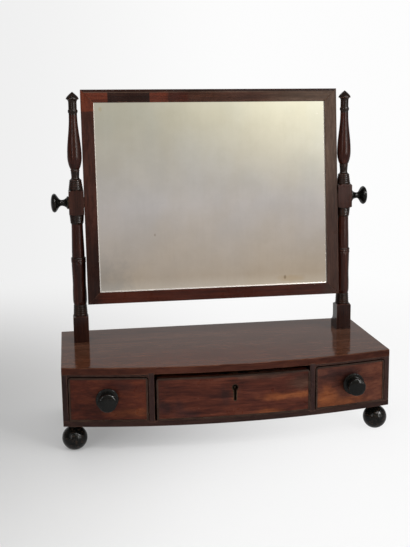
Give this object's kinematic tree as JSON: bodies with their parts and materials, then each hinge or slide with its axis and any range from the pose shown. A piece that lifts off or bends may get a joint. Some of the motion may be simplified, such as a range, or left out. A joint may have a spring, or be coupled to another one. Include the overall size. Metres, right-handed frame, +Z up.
{
  "type": "dressing-table mirror",
  "caption": "Rectangular mirror tilting between turned posts on a bow-fronted box of small drawers with ball feet.",
  "frame": {"origin": "middle of the bounding box's footprint, on the table that the feet stand on", "axes": "+Z up, -Y towards the person at the mirror, +X to that person's right"},
  "size_m": [0.4932, 0.2526, 0.5081],
  "materials": {
    "mahogany": "polished",
    "figured_mahogany": "polished",
    "ebonised_wood": "polished",
    "softwood": "bare",
    "brass": "tarnished",
    "leather": "matte",
    "silvered_glass": "polished"
  },
  "bodies": {
    "case": {"top_board": "mahogany", "bottom_board": "mahogany", "side_left": "mahogany", "side_right": "mahogany", "back_board": "softwood", "divider_left": "mahogany", "divider_right": "mahogany", "top_strip_left": "mahogany", "top_strip_right": "mahogany", "foot_front_left": "ebonised_wood", "foot_front_right": "ebonised_wood", "foot_back_left": "ebonised_wood", "foot_back_right": "ebonised_wood", "post_left": "mahogany", "post_right": "mahogany", "bracket_left": "mahogany", "bracket_right": "mahogany", "inner_washer_left": "leather", "inner_washer_right": "leather"},
    "mirror": {"frame_top_rail": "mahogany", "frame_bottom_rail": "mahogany", "frame_stile_left": "mahogany", "frame_stile_right": "mahogany", "mirror_glass": "silvered_glass", "mirror_back": "softwood", "nut_plate_left": "brass", "nut_plate_right": "brass"},
    "washer_left": {"outer_washer_left": "brass"},
    "washer_right": {"outer_washer_right": "brass"},
    "knob_left": {"swing_screw_left": "brass", "swing_knob_left": "ebonised_wood"},
    "knob_right": {"swing_screw_right": "brass", "swing_knob_right": "ebonised_wood"},
    "drawer_left": {"left_front": "figured_mahogany", "left_cockbead": "mahogany", "left_side_outer": "softwood", "left_side_inner": "softwood", "left_back": "softwood", "left_floor": "softwood", "left_knob": "ebonised_wood"},
    "drawer_middle": {"middle_front": "figured_mahogany", "middle_cockbead": "mahogany", "middle_side_left": "softwood", "middle_side_right": "softwood", "middle_back": "softwood", "middle_floor": "softwood", "escutcheon": "brass", "lock_case": "brass"},
    "lock_bolt": {"lock_bolt": "brass"},
    "drawer_right": {"right_front": "figured_mahogany", "right_cockbead": "mahogany", "right_side_outer": "softwood", "right_side_inner": "softwood", "right_back": "softwood", "right_floor": "softwood", "right_knob": "ebonised_wood"}
  },
  "joints": [
    {"name": "mirror_tilt", "type": "hinge", "parent": "case", "child": "mirror", "pos_m": [0, 0.06206, 0.341], "axis": [1, 0, 0], "continuous": true},
    {"name": "drawer_left_slide", "type": "slide", "parent": "case", "child": "drawer_left", "axis": [0, -1, 0], "range_m": [0, 0.15]},
    {"name": "drawer_middle_slide", "type": "slide", "parent": "case", "child": "drawer_middle", "axis": [0, -1, 0], "range_m": [0, 0.15]},
    {"name": "drawer_right_slide", "type": "slide", "parent": "case", "child": "drawer_right", "axis": [0, -1, 0], "range_m": [0, 0.15]},
    {"name": "lock_bolt_slide", "type": "slide", "parent": "drawer_middle", "child": "lock_bolt", "axis": [0, 0, 1], "range_m": [0, 0.009]},
    {"name": "washer_left_slide", "type": "slide", "parent": "case", "child": "washer_left", "axis": [-1, 0, 0], "range_m": [0, 0.0013]},
    {"name": "washer_right_slide", "type": "slide", "parent": "case", "child": "washer_right", "axis": [1, 0, 0], "range_m": [0, 0.0013]},
    {"name": "knob_left_turn", "type": "hinge", "parent": "washer_left", "child": "knob_left", "pos_m": [-0.221, 0.06206, 0.341], "axis": [-1, 0, 0], "range_deg": [0, 360]},
    {"name": "knob_right_turn", "type": "hinge", "parent": "washer_right", "child": "knob_right", "pos_m": [0.221, 0.06206, 0.341], "axis": [1, 0, 0], "range_deg": [0, 360]}
  ],
  "couplings": [
    {"joint": "washer_left_slide", "follows": "knob_left_turn", "m_per_rad": 0.0002021},
    {"joint": "washer_right_slide", "follows": "knob_right_turn", "m_per_rad": 0.0002021}
  ]
}
